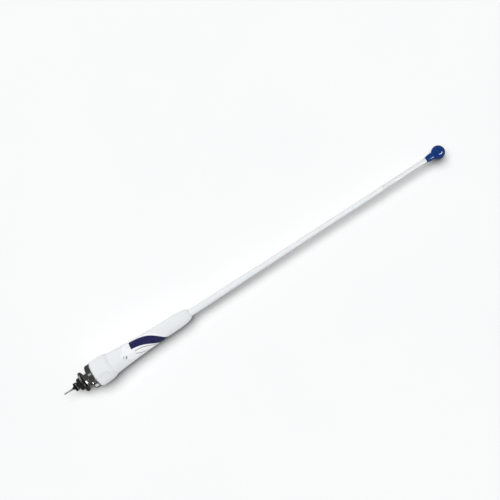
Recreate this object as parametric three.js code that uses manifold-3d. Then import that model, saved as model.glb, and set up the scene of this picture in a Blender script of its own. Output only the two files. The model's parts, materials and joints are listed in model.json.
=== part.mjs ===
// A 0.9 m marine VHF whip antenna: a white plastic ferrule with a fluted grip, a tapered fibreglass whip with a
// blue ball cap, and a metal stud below it that carries the clamp washer, the nuts and the feed pin.
// Millimetres, +Z up along the whip. Heights here are measured from the seat, the underside of the stud's round
// flange, which sits on a bracket. The whole antenna is then raised, to put its origin at the feed pin's end.
// Every outline is a list of [radius, height] points.

import * as THREE from 'three';
import { mergeVertices } from 'three/addons/utils/BufferGeometryUtils.js';
import Module from 'manifold-3d';

const wasm = await Module();
wasm.setup();

// ---- Driving dimensions ----

const gap = 0.3; // between a piece and the neighbour that it is fitted to

// Stud: flange, hex shank, clamp thread and feed nose, below and above the seat
const flangeRadius = 25.4;
const flangeHeight = 10.4;
const flangeCorner = 3;
const hexAcrossFlats = 24;
const hexTurn = 30; // degrees, so that a corner faces -Y
const hexHeight = 13;
const studRadius = 8; // M16 x 1.5
const studEnd = -28.6;
const studChamfer = 1;
const boreStep = studEnd + 1.6; // where its bore widens
const noseRadius = 5; // M10 x 1
const noseEnd = -34.6;
const noseChamfer = 0.6;
const boreRadius = 4.3;
const noseBoreRadius = 3.6;
const spigotRadius = 18;
const spigotTop = 22;
const threadedTopRadius = 6; // M12
const threadedTopEnd = 31;
const chamfer = 0.5; // on its other sharp edges
const threadClearance = 0.5; // of a washer on the clamp thread

// Feed pin
const pinRadius = 1.7;
const pinEnd = -62;
const pinTop = 40;

// Clamp hardware, stacked downwards from the hex shank
const washerRadius = 21;
const washerThickness = 4.5;
const lockWasherRadius = 13;
const lockWasherThickness = 2.2;
const nutAcrossFlats = 24;
const nutTurn = -20; // degrees
const nutHeight = 6.5;
const nutTravel = 3; // two turns of the M16 x 1.5 thread

// Gland hardware, on the stud's nose
const glandWasherRadius = 8.7;
const glandWasherThickness = 1.3;
const glandNutAcrossFlats = 15;
const glandNutHeight = 5.4;
const glandLip = 1.2;
const glandHoleRadius = 3.9;
const sealConeLength = 5;
const sealTipRadius = 2.5;

// Ferrule
const gripFoot = flangeHeight + 0.6;
const gripRadius = 27.8;
const gripFootRound = 5.5;
const gripTop = 50.5;
const gripTopRadius = 25.5;
const fluteCount = 4;
const fluteAngle = -64; // the first flute's middle, in degrees from +X
const coneFoot = gripTop + gap;
const coneFootRadius = 23;
const shoulderStart = 207;
const shoulderRadius = 15;
const ferruleTop = 236;
const ferruleTopRadius = 8.5;
const cavityRadius = 14.9; // the room for the matching coil
const cavityTop = 146;

// O-rings, at the ferrule's foot and around the whip
const baseRingThickness = 2.8;
const baseRingRadius = spigotRadius + 1.8;
const baseRingHeight = flangeHeight + 1.7;
const whipRingThickness = 2.3;
const whipRingRadius = 8.6;
const whipRingHeight = 222.5;

// Label, measured along its two sides, which lie on a slant to the ferrule's axis
const labelLength = 124;
const labelSide = 31.4; // the height of its two ends
const labelRise = 22.4; // its top edge arches this much above its ends
const labelCorner = 4;
const labelSlant = 36;
const labelFoot = 72.4; // its lowest corner
const labelAngle = -82;

// Whip
const tubeFoot = 152;
const tubeFootRadius = 7;
const taperStart = 250;
const taperEnd = 520;
const tubeRadius = 5;
const tubeTop = 695;
const tubeBoreRadius = 3.4;
const tubeEdge = 0.4;
const rodRadius = 4.6;
const rodTop = 822;
const radiatorRadius = 1;
const radiatorTop = 805;
const foamFeet = [180, 300, 420, 540, 750]; // where the foam spacers start
const foamLength = 20;
const plugLength = 12; // of the rod's plug

// Ball cap
const capFoot = 798;
const capFootWall = 0.3;
const capTaperHeight = 10; // over which the foot widens into the neck
const capNeckRadius = 7.5;
const capFillet = 3;
const ballRadius = 14;
const ballHeight = 827;

// Matching coil
const formerRadius = 12.5;
const formerWall = 1.6;
const formerTop = 138;
const coilWireRadius = 0.8;
const coilRadius = formerRadius + gap + coilWireRadius;
const coilFoot = 52;
const coilTurns = 7;
const coilPitch = 10;

// Facets around a turned piece
const fine = 36;
const medium = 24;
const coarse = 12;

// ---- Solids ----

// A closed three.js geometry as a solid that can be joined and cut.
function solidFrom(geometry) {
  geometry.deleteAttribute('normal');
  geometry.deleteAttribute('uv');
  const merged = mergeVertices(geometry, 1e-4);
  const corners = merged.index.array;
  const kept = [];
  for (let i = 0; i < corners.length; i += 3) {
    const [a, b, c] = corners.slice(i, i + 3);
    if (a !== b && b !== c && c !== a) kept.push(a, b, c);
  }
  const mesh = new wasm.Mesh({
    numProp: 3,
    vertProperties: new Float32Array(merged.attributes.position.array),
    triVerts: new Uint32Array(kept),
  });
  return new wasm.Manifold(mesh);
}

// An outline turned about the Z axis. It closes on itself, or runs from the axis back to the axis.
function turned(outline, facets) {
  const points = outline.map(([radius, height]) => new THREE.Vector2(radius, height));
  if (THREE.ShapeUtils.isClockWise(points)) points.reverse();
  return solidFrom(new THREE.LatheGeometry(points, facets).rotateX(Math.PI / 2));
}

// A solid of revolution with a hole through it, from its outer outline, bottom to top, and its bore's radius.
function ring(bore, outer, facets) {
  const foot = outer[0][1];
  const top = outer[outer.length - 1][1];
  return turned([[bore, foot], ...outer, [bore, top], [bore, foot]], facets);
}

// A plain cylinder on the axis.
function cylinder(radius, foot, top, facets) {
  return turned([[0, foot], [radius, foot], [radius, top], [0, top]], facets);
}

// Points on an arc of an outline, from one angle to another, in degrees.
function arc(centreRadius, centreHeight, radius, from, to, steps) {
  return Array.from({ length: steps + 1 }, (_, i) => {
    const angle = THREE.MathUtils.degToRad(from + ((to - from) * i) / steps);
    return [centreRadius + radius * Math.cos(angle), centreHeight + radius * Math.sin(angle)];
  });
}

// Points on a three.js curve of an outline.
function along(curve, steps) {
  return curve.getPoints(steps).map((point) => [point.x, point.y]);
}

// A flat shape drawn in X and Y, extruded upwards from one height to another.
function prism(shape, foot, top) {
  const geometry = new THREE.ExtrudeGeometry(shape, { depth: top - foot, bevelEnabled: false });
  return solidFrom(geometry.translate(0, 0, foot));
}

// A hexagonal bar with its corners turned down at both ends, as a nut's are. Without a turn, a corner faces +X.
function hexagon(acrossFlats, foot, top, turn = 0) {
  const cornerRadius = acrossFlats / Math.sqrt(3);
  const shape = new THREE.Shape(Array.from({ length: 6 }, (_, i) => {
    const angle = (i * Math.PI) / 3;
    return new THREE.Vector2(cornerRadius * Math.cos(angle), cornerRadius * Math.sin(angle));
  }));
  const flatRadius = acrossFlats / 2 - 0.2;
  const bevel = (cornerRadius - flatRadius) * Math.tan(Math.PI / 6);
  const turnedDown = turned([
    [0, foot],
    [flatRadius, foot],
    [cornerRadius, foot + bevel],
    [cornerRadius, top - bevel],
    [flatRadius, top],
    [0, top],
  ], fine);
  return prism(shape, foot, top).intersect(turnedDown).rotate([0, 0, turn]);
}

// A round wire along a curve, with flat ends.
function wire(curve, radius, steps, sides) {
  const section = new THREE.Shape(Array.from({ length: sides }, (_, i) => {
    const angle = (i * 2 * Math.PI) / sides;
    return new THREE.Vector2(radius * Math.cos(angle), radius * Math.sin(angle));
  }));
  return solidFrom(new THREE.ExtrudeGeometry(section, { extrudePath: curve, steps, bevelEnabled: false }));
}

// A round wire bent through a list of points.
function bentWire(points, radius) {
  const stations = points.map((point) => new THREE.Vector3(...point));
  const curve = new THREE.CatmullRomCurve3(stations, false, 'chordal');
  return wire(curve, radius, 4 * (points.length - 1), 6);
}

// A point at a radius, an angle in degrees and a height.
function polar(radius, degrees, height) {
  const angle = THREE.MathUtils.degToRad(degrees);
  return [radius * Math.cos(angle), radius * Math.sin(angle), height];
}

// A rubber O-ring around the axis.
function oRing(radius, thickness, height) {
  return turned(arc(radius, height, thickness / 2, 0, 360, 8), fine);
}

// ---- Stud and feed ----

function baseStud() {
  const outside = turned([
    [0, noseEnd],
    [noseRadius - noseChamfer, noseEnd],
    [noseRadius, noseEnd + noseChamfer],
    [noseRadius, studEnd],
    [studRadius - studChamfer, studEnd],
    [studRadius, studEnd + studChamfer],
    [studRadius, 0],
    ...arc(flangeRadius - flangeCorner, flangeCorner, flangeCorner, -90, 0, 4),
    [flangeRadius, flangeHeight - chamfer],
    [flangeRadius - chamfer, flangeHeight],
    [spigotRadius, flangeHeight],
    [spigotRadius, spigotTop - chamfer],
    [spigotRadius - chamfer, spigotTop],
    [threadedTopRadius, spigotTop],
    [threadedTopRadius, threadedTopEnd],
    [0, threadedTopEnd],
  ], fine);
  const bore = turned([
    [0, noseEnd - 1],
    [noseBoreRadius, noseEnd - 1],
    [noseBoreRadius, boreStep],
    [boreRadius, boreStep],
    [boreRadius, threadedTopEnd + 1],
    [0, threadedTopEnd + 1],
  ], medium);
  // the hex runs up into the flange, so that its top bevel is buried
  const shank = hexagon(hexAcrossFlats, -hexHeight, flangeHeight / 2, hexTurn);
  return outside.add(shank).subtract(bore);
}

function feedInsulator() {
  const foot = noseEnd;
  const step = boreStep + gap;
  return ring(pinRadius + gap, [
    [noseBoreRadius - gap, foot],
    [noseBoreRadius - gap, step],
    [boreRadius - gap, step],
    [boreRadius - gap, threadedTopEnd + 2],
  ], medium);
}

function feedPin() {
  const tip = 0.5;
  return turned([
    [0, pinEnd],
    [pinRadius - tip, pinEnd],
    [pinRadius, pinEnd + tip],
    [pinRadius, pinTop],
    [0, pinTop],
  ], coarse);
}

// ---- Clamp hardware ----

const washerTop = -hexHeight - gap;
const lockWasherTop = washerTop - washerThickness - gap;
const nutTop = lockWasherTop - lockWasherThickness - gap;
const nutFoot = nutTop - nutHeight;

function clampWasher() {
  const edge = 1.4;
  const foot = washerTop - washerThickness;
  return ring(studRadius + threadClearance, [
    ...arc(washerRadius - edge, foot + edge, edge, -90, 0, 3),
    ...arc(washerRadius - edge, washerTop - edge, edge, 0, 90, 3),
  ], fine);
}

// A spring washer: a square-section ring cut through once, on a slant.
function lockWasher() {
  const foot = lockWasherTop - lockWasherThickness;
  const side = [[lockWasherRadius, foot], [lockWasherRadius, lockWasherTop]];
  const body = ring(studRadius + threadClearance, side, medium);
  const cutWidth = 2;
  const cut = new THREE.BoxGeometry(lockWasherRadius, cutWidth, 4 * lockWasherThickness);
  cut.rotateX(Math.PI / 5);
  cut.translate(lockWasherRadius, 0, foot + lockWasherThickness / 2);
  return body.subtract(solidFrom(cut));
}

function clampNut() {
  const bore = cylinder(studRadius + gap, nutFoot - 1, nutTop + 1, medium);
  return hexagon(nutAcrossFlats, nutFoot, nutTop, nutTurn).subtract(bore);
}

// ---- Gland ----

const glandWasherTop = nutFoot - nutTravel - gap;
const glandNutTop = glandWasherTop - glandWasherThickness - gap;
const glandNutFoot = glandNutTop - glandNutHeight;

function glandWasher() {
  const edge = 0.4;
  const foot = glandWasherTop - glandWasherThickness;
  return ring(noseRadius + gap, [
    [glandWasherRadius - edge, foot],
    [glandWasherRadius, foot + edge],
    [glandWasherRadius, glandWasherTop - edge],
    [glandWasherRadius - edge, glandWasherTop],
  ], medium);
}

function glandNut() {
  const bore = turned([
    [0, glandNutFoot - 1],
    [glandHoleRadius, glandNutFoot - 1],
    [glandHoleRadius, glandNutFoot + glandLip],
    [noseRadius + gap, glandNutFoot + glandLip],
    [noseRadius + gap, glandNutTop + 1],
    [0, glandNutTop + 1],
  ], medium);
  return hexagon(glandNutAcrossFlats, glandNutFoot, glandNutTop).subtract(bore);
}

// A rubber sleeve with a flange inside the gland nut and a cone that grips the pin below it.
function glandSeal() {
  const flangeTop = noseEnd - gap;
  const flangeFoot = glandNutFoot + glandLip + gap;
  return ring(pinRadius + gap, [
    [sealTipRadius, glandNutFoot - sealConeLength],
    [glandHoleRadius - gap, glandNutFoot - gap],
    [glandHoleRadius - gap, flangeFoot],
    [noseRadius, flangeFoot],
    [noseRadius, flangeTop],
  ], medium);
}

// ---- Ferrule ----

const sealRecess = 2.9;
const skirtRadius = 20.1;
const skirtFoot = 33.3;

// One finger flute: a long shallow ellipsoid that sinks into the grip's side and runs out at its foot.
function flute(index) {
  const depth = 1.5;
  const bulge = 2.2;
  const halfWidth = 9;
  const halfHeight = 16;
  const middle = gripFoot + 13;
  const cutter = new THREE.SphereGeometry(1, 12, 8);
  cutter.rotateX(Math.PI / 2);
  cutter.scale(bulge, halfWidth, halfHeight);
  cutter.translate(gripRadius + bulge - depth, 0, middle);
  cutter.rotateZ(THREE.MathUtils.degToRad(fluteAngle) + (index * 2 * Math.PI) / fluteCount);
  return solidFrom(cutter);
}

function ferruleGrip() {
  const spigotBore = spigotRadius + gap;
  const recessRadius = spigotRadius + 3.5;
  const skirtBore = skirtRadius + gap;
  const ledge = 27;
  const straightTop = gripFoot + 22;
  const kneeHeight = gripFoot + 28;
  const lip = 2;
  let body = turned([
    [recessRadius, gripFoot],
    ...arc(gripRadius - gripFootRound, gripFoot + gripFootRound, gripFootRound, -90, 0, 5),
    [gripRadius, straightTop],
    [gripRadius - 1, kneeHeight],
    [gripTopRadius, gripTop - lip],
    [gripTopRadius - 0.8, gripTop],
    [skirtBore, gripTop],
    [skirtBore, ledge],
    [spigotBore, ledge],
    [spigotBore, gripFoot + sealRecess],
    [recessRadius, gripFoot + sealRecess],
    [recessRadius, gripFoot],
  ], fine);
  for (let index = 0; index < fluteCount; index += 1) body = body.subtract(flute(index));
  return body;
}

// The ferrule's outer side above the grip: a waisted cone, then a rounded shoulder.
const waist = new THREE.QuadraticBezierCurve(
  new THREE.Vector2(coneFootRadius, coneFoot),
  new THREE.Vector2(16.4, 118),
  new THREE.Vector2(shoulderRadius, shoulderStart),
);
const shoulder = new THREE.CubicBezierCurve(
  new THREE.Vector2(shoulderRadius, shoulderStart),
  new THREE.Vector2(14.8, 222),
  new THREE.Vector2(11.5, 234),
  new THREE.Vector2(ferruleTopRadius, ferruleTop),
);

function ferruleCone() {
  const whipBore = tubeFootRadius + 0.35;
  const whipBoreFoot = cavityTop + 4;
  const grooveFoot = whipRingHeight - 1.5;
  const grooveTop = whipRingHeight + 1.5;
  const grooveRadius = 10;
  return turned([
    [skirtRadius, skirtFoot],
    [skirtRadius, coneFoot],
    ...along(waist, 8),
    ...along(shoulder, 6).slice(1),
    [whipBore, ferruleTop],
    [whipBore, grooveTop],
    [grooveRadius, grooveTop],
    [grooveRadius, grooveFoot],
    [whipBore, grooveFoot],
    [whipBore, whipBoreFoot],
    [cavityRadius, cavityTop],
    [cavityRadius, skirtFoot],
    [skirtRadius, skirtFoot],
  ], fine);
}

// A point of the label: how far along it, what share of its height there, and how far out from the ferrule.
function labelPoint(length, share, lift) {
  const inset = Math.max(0, labelCorner - Math.min(length, labelLength - length));
  const rounding = labelCorner - Math.sqrt(labelCorner ** 2 - inset ** 2);
  const arch = 4 * labelRise * (length / labelLength) * (1 - length / labelLength);
  const width = rounding + (labelSide + arch - 2 * rounding) * share;
  const slant = THREE.MathUtils.degToRad(labelSlant);
  const height = labelFoot + length * Math.cos(slant) + width * Math.sin(slant);
  const side = along(waist, 8);
  const above = side.findIndex((point) => point[1] > height);
  const [lower, upper] = [side[above - 1], side[above]];
  const radius = THREE.MathUtils.mapLinear(height, lower[1], upper[1], lower[0], upper[0]);
  const sideways = length * Math.sin(slant) - width * Math.cos(slant);
  return polar(radius + lift, labelAngle + THREE.MathUtils.radToDeg(sideways / radius), height);
}

// A printed label, wrapped on a slant around the ferrule: straight along its foot and arched along its top.
function ferruleLabel() {
  const thickness = 0.4;
  const columns = 40;
  const rows = 14;
  const stride = rows + 1;
  const points = [gap + thickness, gap].flatMap((lift) => (
    Array.from({ length: (columns + 1) * stride }, (_, i) => (
      labelPoint((labelLength * Math.floor(i / stride)) / columns, (i % stride) / rows, lift)
    ))
  ));
  const inner = points.length / 2; // from a corner on the outer face to the same corner on the inner one
  const faces = [];
  const quad = (a, b, c, d) => faces.push(a, b, c, a, c, d);
  for (let column = 0; column < columns; column += 1) {
    for (let row = 0; row < rows; row += 1) {
      const a = column * stride + row;
      quad(a, a + stride, a + stride + 1, a + 1);
      quad(inner + a, inner + a + 1, inner + a + stride + 1, inner + a + stride);
    }
  }
  const edge = (a, b) => quad(b, a, inner + a, inner + b);
  for (let column = 0; column < columns; column += 1) {
    const a = column * stride;
    edge(a, a + stride);
    edge(a + stride + rows, a + rows);
  }
  for (let row = 0; row < rows; row += 1) {
    edge(row + 1, row);
    edge(columns * stride + row, columns * stride + row + 1);
  }
  const geometry = new THREE.BufferGeometry();
  geometry.setAttribute('position', new THREE.Float32BufferAttribute(points.flat(), 3));
  geometry.setIndex(faces);
  return solidFrom(geometry);
}

// ---- Matching network ----

const lugRadius = 11.6;
const lugThickness = 1;
const lugTop = spigotTop + gap + lugThickness;
const lugTabHeight = 12;
const lugTabWidth = 4;
const innerNutAcrossFlats = 18;
const innerNutHeight = 5.5;
const innerNutTop = lugTop + gap + innerNutHeight;
const formerFoot = lugTop + 0.4;
const leadRadius = 0.6;
const bossRadius = 3;
const bossHeight = 7;
const tapAngle = 40;
const groundAngle = 180;
const tapHeight = coilFoot + (coilPitch * (tapAngle - groundAngle + 720)) / 360; // in the coil's second turn

// A flat ring under the inner nut, with a tab that turns up outside the coil former.
function groundLug() {
  const tabReach = 13.9;
  const footLength = 5;
  const disc = ring(threadedTopRadius + gap, [[lugRadius, spigotTop + gap], [lugRadius, lugTop]], medium);
  const foot = new THREE.BoxGeometry(footLength, lugTabWidth, lugThickness);
  foot.translate((footLength - lugThickness) / 2 - tabReach, 0, lugTop - lugThickness / 2);
  const tab = new THREE.BoxGeometry(lugThickness, lugTabWidth, lugTabHeight);
  tab.translate(-tabReach, 0, lugTop - lugThickness + lugTabHeight / 2);
  return disc.add(solidFrom(foot)).add(solidFrom(tab));
}

function innerNut() {
  const foot = lugTop + gap;
  const bore = cylinder(threadedTopRadius + gap, foot - 1, innerNutTop + 1, medium);
  return hexagon(innerNutAcrossFlats, foot, innerNutTop).subtract(bore);
}

// A plain tube with a window for the wire that taps the coil.
function coilFormer() {
  const tube = ring(formerRadius - formerWall, [[formerRadius, formerFoot], [formerRadius, formerTop]], medium);
  const width = 4;
  const height = 8;
  const window = new THREE.BoxGeometry(height, width, height).translate(formerRadius, 0, tapHeight);
  window.rotateZ(THREE.MathUtils.degToRad(tapAngle));
  return tube.subtract(solidFrom(window));
}

class Helix extends THREE.Curve {
  getPoint(t, target = new THREE.Vector3()) {
    const degrees = groundAngle + 360 * coilTurns * t;
    return target.set(...polar(coilRadius, degrees, coilFoot + coilPitch * coilTurns * t));
  }
}

function matchingCoil() {
  return wire(new Helix(), coilWireRadius, 14 * coilTurns, 6);
}

function groundWire() {
  const end = coilFoot - 2 * coilWireRadius;
  return bentWire([
    polar(coilRadius, groundAngle, lugTop + lugTabHeight),
    polar(coilRadius, groundAngle, (lugTop + end) / 2 + 7),
    polar(coilRadius, groundAngle, end),
  ], coilWireRadius);
}

// From the top of the feed pin, out through the former's window, to the coil.
function tapWire() {
  return bentWire([
    [0, 0, pinTop + gap],
    [0, 0, pinTop + 8],
    polar(6, tapAngle, tapHeight),
    polar(coilRadius - coilWireRadius - gap, tapAngle, tapHeight),
  ], leadRadius);
}

// A disc capacitor across the feed, with one lead at the pin and the other at the inner nut.
function tuningCapacitor() {
  const radius = 3.6;
  const halfThickness = 1.2;
  const centre = [6, -3, innerNutTop + 10];
  const disc = new THREE.LatheGeometry([
    [0, -halfThickness],
    [radius - 0.8, -halfThickness],
    [radius, 0],
    [radius - 0.8, halfThickness],
    [0, halfThickness],
  ].map(([r, h]) => new THREE.Vector2(r, h)), medium);
  const lead = (x, foot) => cylinder(0.4, 0, centre[2] - foot, 6).translate(x, centre[1], foot);
  return solidFrom(disc.translate(...centre))
    .add(lead(centre[0] - 2, innerNutTop + 4))
    .add(lead(centre[0] + 2, innerNutTop + gap));
}

// The brass plug in the former's top, with a boss that holds the radiator.
function coilTerminal() {
  const plugRadius = formerRadius - formerWall - gap;
  const plugDepth = 4;
  return turned([
    [0, formerTop - plugDepth],
    [plugRadius, formerTop - plugDepth],
    [plugRadius, formerTop],
    [bossRadius, formerTop],
    [bossRadius, formerTop + bossHeight],
    [0, formerTop + bossHeight],
  ], medium);
}

// From the coil's last turn, over the former's rim, to the terminal's boss.
function radiatorLead() {
  const top = formerTop + 3;
  const start = coilFoot + coilPitch * coilTurns + 2 * coilWireRadius;
  return bentWire([
    polar(coilRadius, groundAngle, start),
    polar(coilRadius, groundAngle, top - 4),
    polar(formerRadius, groundAngle, top - 0.8),
    polar(9, groundAngle, top),
    polar(bossRadius + gap, groundAngle, top),
  ], leadRadius);
}

// ---- Whip ----

function whipTube() {
  return ring(tubeBoreRadius, [
    [tubeFootRadius, tubeFoot],
    [tubeFootRadius, taperStart],
    [tubeRadius, taperEnd],
    [tubeRadius, tubeTop - tubeEdge],
    [tubeRadius - tubeEdge, tubeTop],
  ], medium);
}

function topRod() {
  return ring(tubeBoreRadius, [[rodRadius, tubeTop + tubeEdge], [rodRadius, rodTop]], medium);
}

// The tube inside the joint between the whip tube and the top rod.
function spliceSleeve() {
  const halfLength = 30;
  const boreRadius = 1.8;
  const outer = tubeBoreRadius - gap;
  return ring(boreRadius, [[outer, tubeTop - halfLength], [outer, tubeTop + halfLength]], coarse);
}

function radiator() {
  return cylinder(radiatorRadius, formerTop + bossHeight + gap, radiatorTop, coarse);
}

function foamSpacer(foot) {
  const outer = tubeBoreRadius - gap;
  return ring(radiatorRadius + gap, [[outer, foot], [outer, foot + foamLength]], coarse);
}

function rodPlug() {
  return cylinder(tubeBoreRadius - gap, rodTop - plugLength, rodTop, coarse);
}

function tipCap() {
  const boreRadius = rodRadius + gap;
  const boreTop = rodTop + gap;
  const footRadius = boreRadius + capFootWall;
  const taperTop = capFoot + capTaperHeight;
  const filletRadius = capNeckRadius + capFillet;
  const filletDrop = Math.sqrt((ballRadius + capFillet) ** 2 - filletRadius ** 2);
  const tangent = THREE.MathUtils.radToDeg(Math.atan2(filletDrop, filletRadius));
  return turned([
    [0, boreTop],
    [boreRadius, boreTop],
    [boreRadius, capFoot],
    [footRadius, capFoot],
    [capNeckRadius - 1, capFoot + capTaperHeight / 2],
    [capNeckRadius, taperTop],
    ...arc(filletRadius, ballHeight - filletDrop, capFillet, 180, 180 - tangent, 3),
    ...arc(0, ballHeight, ballRadius, -tangent, 90, 12).slice(1, -1),
    [0, ballHeight + ballRadius],
  ], fine);
}

// ---- Finishes ----

const finishes = {
  whitePlastic: { color: 0xe9edef, roughness: 0.45, metalness: 0 },
  label: { color: 0xf4f5f7, roughness: 0.25, metalness: 0 },
  fibreglass: { color: 0xe8ebec, roughness: 0.5, metalness: 0 },
  bluePlastic: { color: 0x0c2f86, roughness: 0.2, metalness: 0 },
  chrome: { color: 0x8f918f, roughness: 0.15, metalness: 1 },
  darkSteel: { color: 0x5b5c59, roughness: 0.3, metalness: 1 },
  tinnedPin: { color: 0xb5b6b4, roughness: 0.35, metalness: 1 },
  ptfe: { color: 0xf2f1ec, roughness: 0.6, metalness: 0 },
  rubber: { color: 0x1b1c1d, roughness: 0.85, metalness: 0 },
  copper: { color: 0xb8663a, roughness: 0.3, metalness: 1 },
  brass: { color: 0xb9974a, roughness: 0.3, metalness: 1 },
  former: { color: 0xd8d2c0, roughness: 0.5, metalness: 0 },
  ceramic: { color: 0xc07a2c, roughness: 0.4, metalness: 0 },
  foam: { color: 0xe6e2d6, roughness: 0.95, metalness: 0 },
};

// ---- Assembly ----

const antenna = new THREE.Group();
antenna.position.z = -pinEnd;

function place(name, finish, solid) {
  const { vertProperties, triVerts } = solid.getMesh();
  const geometry = new THREE.BufferGeometry();
  geometry.setAttribute('position', new THREE.BufferAttribute(vertProperties, 3));
  geometry.setIndex(new THREE.BufferAttribute(triVerts, 1));
  geometry.computeVertexNormals();
  const mesh = new THREE.Mesh(geometry, new THREE.MeshStandardMaterial(finishes[finish]));
  mesh.name = name;
  antenna.add(mesh);
}

place('base_stud', 'chrome', baseStud());
place('feed_insulator', 'ptfe', feedInsulator());
place('feed_pin', 'tinnedPin', feedPin());

place('clamp_washer', 'darkSteel', clampWasher());
place('lock_washer', 'darkSteel', lockWasher());
place('clamp_nut', 'darkSteel', clampNut());

place('gland_washer', 'darkSteel', glandWasher());
place('gland_nut', 'darkSteel', glandNut());
place('gland_seal', 'rubber', glandSeal());

place('ferrule_grip', 'whitePlastic', ferruleGrip());
place('ferrule_cone', 'whitePlastic', ferruleCone());
place('ferrule_label', 'label', ferruleLabel());
place('base_o_ring', 'rubber', oRing(baseRingRadius, baseRingThickness, baseRingHeight));
place('whip_o_ring', 'rubber', oRing(whipRingRadius, whipRingThickness, whipRingHeight));

place('ground_lug', 'brass', groundLug());
place('inner_nut', 'darkSteel', innerNut());
place('coil_former', 'former', coilFormer());
place('matching_coil', 'copper', matchingCoil());
place('ground_wire', 'copper', groundWire());
place('tap_wire', 'copper', tapWire());
place('tuning_capacitor', 'ceramic', tuningCapacitor());
place('coil_terminal', 'brass', coilTerminal());
place('radiator_lead', 'copper', radiatorLead());

place('whip_tube', 'fibreglass', whipTube());
place('top_rod', 'fibreglass', topRod());
place('splice_sleeve', 'fibreglass', spliceSleeve());
place('radiator', 'brass', radiator());
foamFeet.forEach((foot, index) => {
  place(`foam_spacer_${index + 1}`, 'foam', foamSpacer(foot));
});
place('rod_plug', 'whitePlastic', rodPlug());
place('tip_cap', 'bluePlastic', tipCap());

export default antenna;
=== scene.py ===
import json
import math

import bpy
import numpy as np
from mathutils import Matrix, Vector
from mathutils.bvhtree import BVHTree

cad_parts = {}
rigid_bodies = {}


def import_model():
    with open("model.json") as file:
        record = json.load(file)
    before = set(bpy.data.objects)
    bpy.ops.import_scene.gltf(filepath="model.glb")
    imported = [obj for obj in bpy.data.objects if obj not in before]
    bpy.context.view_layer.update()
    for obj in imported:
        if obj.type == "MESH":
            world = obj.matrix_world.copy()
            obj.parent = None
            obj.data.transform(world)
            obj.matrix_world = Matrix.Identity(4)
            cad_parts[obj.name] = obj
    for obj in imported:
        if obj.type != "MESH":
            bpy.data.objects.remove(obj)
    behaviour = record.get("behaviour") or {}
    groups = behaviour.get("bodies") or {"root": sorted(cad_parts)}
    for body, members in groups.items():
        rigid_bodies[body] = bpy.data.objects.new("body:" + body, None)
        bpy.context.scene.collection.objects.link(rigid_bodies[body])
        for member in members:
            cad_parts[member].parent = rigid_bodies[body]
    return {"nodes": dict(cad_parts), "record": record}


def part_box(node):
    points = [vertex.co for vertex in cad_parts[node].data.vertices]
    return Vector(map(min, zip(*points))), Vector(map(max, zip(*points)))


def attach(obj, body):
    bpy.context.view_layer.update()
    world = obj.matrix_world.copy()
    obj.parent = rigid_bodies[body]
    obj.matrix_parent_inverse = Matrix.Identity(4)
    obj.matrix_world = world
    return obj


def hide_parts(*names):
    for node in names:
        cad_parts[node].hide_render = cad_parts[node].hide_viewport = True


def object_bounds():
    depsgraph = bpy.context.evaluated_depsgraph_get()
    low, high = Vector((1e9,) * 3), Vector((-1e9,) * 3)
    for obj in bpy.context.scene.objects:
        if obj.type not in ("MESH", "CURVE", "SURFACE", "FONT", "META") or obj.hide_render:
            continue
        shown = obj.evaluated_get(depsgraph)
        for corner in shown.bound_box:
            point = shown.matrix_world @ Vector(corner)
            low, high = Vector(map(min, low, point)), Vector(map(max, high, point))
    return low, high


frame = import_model()
cad_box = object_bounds()

# A marine whip antenna that stands on its feed pin, with its whip along +Z. Lengths are in metres.
# An outline is a list of (radius, height, rounding) corners. It closes on itself, or starts and
# ends on the axis.

MM = 0.001
GAP = 0.3 * MM  # between a piece and the neighbour that it is fitted to
HAIRLINE = 0.05 * MM  # between pieces that are pressed together
OFF_SEAM = 0.01 * MM  # keeps a ray off the seam between two columns of faces

# Roundings of edges, from a cut edge to a moulded one
CRISP = 0.1 * MM
FINE = 0.2 * MM
EASED = 0.3 * MM
SOFT = 0.5 * MM

STUD_PITCH = 1.5 * MM
GLAND_PITCH = 1.0 * MM
GLAND_LIP = 1.2 * MM  # the thickness of the gland nut's closed end
HEX_BEVEL = 0.2 * MM  # how far inside its flats a hexagon's ends are turned down
COIL_TURNS = 7
COIL_PITCH = 10 * MM
SKIRT = 17.5 * MM  # the part of the ferrule's cone that is inside the grip
TUBE_SPACING = 12 * MM  # between the rows of a long tube's faces
LABEL_LENGTH = 124 * MM
LABEL_SIDE = 31.4 * MM  # the height of the label's two ends
LABEL_RISE = 22.4 * MM  # how far its top arches above them
LABEL_CORNER = 4 * MM
LABEL_SLANT = math.radians(36)


# ---- Reading the frame ----


def low(node):
    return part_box(node)[0].z


def high(node):
    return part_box(node)[1].z


def half_width(node):
    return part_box(node)[1].y


def ends(node):
    """The heights of the node's foot and top."""
    return low(node), high(node)


def mount_height(name):
    mounts = frame["record"]["mounts"]
    return next(mount["pos_m"][2] for mount in mounts if mount["name"] == name)


trees = {}


def tree_of(node):
    """The node's faces, ready for rays. Each node's tree is made once."""
    if node not in trees:
        mesh = frame["nodes"][node].data
        corners = [v.co.copy() for v in mesh.vertices]
        trees[node] = BVHTree.FromPolygons(corners, [list(p.vertices) for p in mesh.polygons])
    return trees[node]


def met_radius(node, start, direction):
    """The radius, on the -Y side, at which a level ray first meets the node."""
    hit = tree_of(node).ray_cast(start, direction)[0]
    return -hit.y


def outer(node, height):
    """The node's outer radius at a height."""
    return met_radius(node, Vector((OFF_SEAM, -1, height)), Vector((0, 1, 0)))


def bore(node, height):
    """The radius of the node's bore at a height."""
    return met_radius(node, Vector((OFF_SEAM, 0, height)), Vector((0, -1, 0)))


def hex_of(node, foot, top):
    """The corner radius of a node's hexagon, and the angle of one of its corners."""
    spots = [v.co.xy for v in frame["nodes"][node].data.vertices if foot < v.co.z < top]
    corner = max(spots, key=lambda spot: spot.length)
    return corner.length, math.atan2(corner.y, corner.x)


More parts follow.
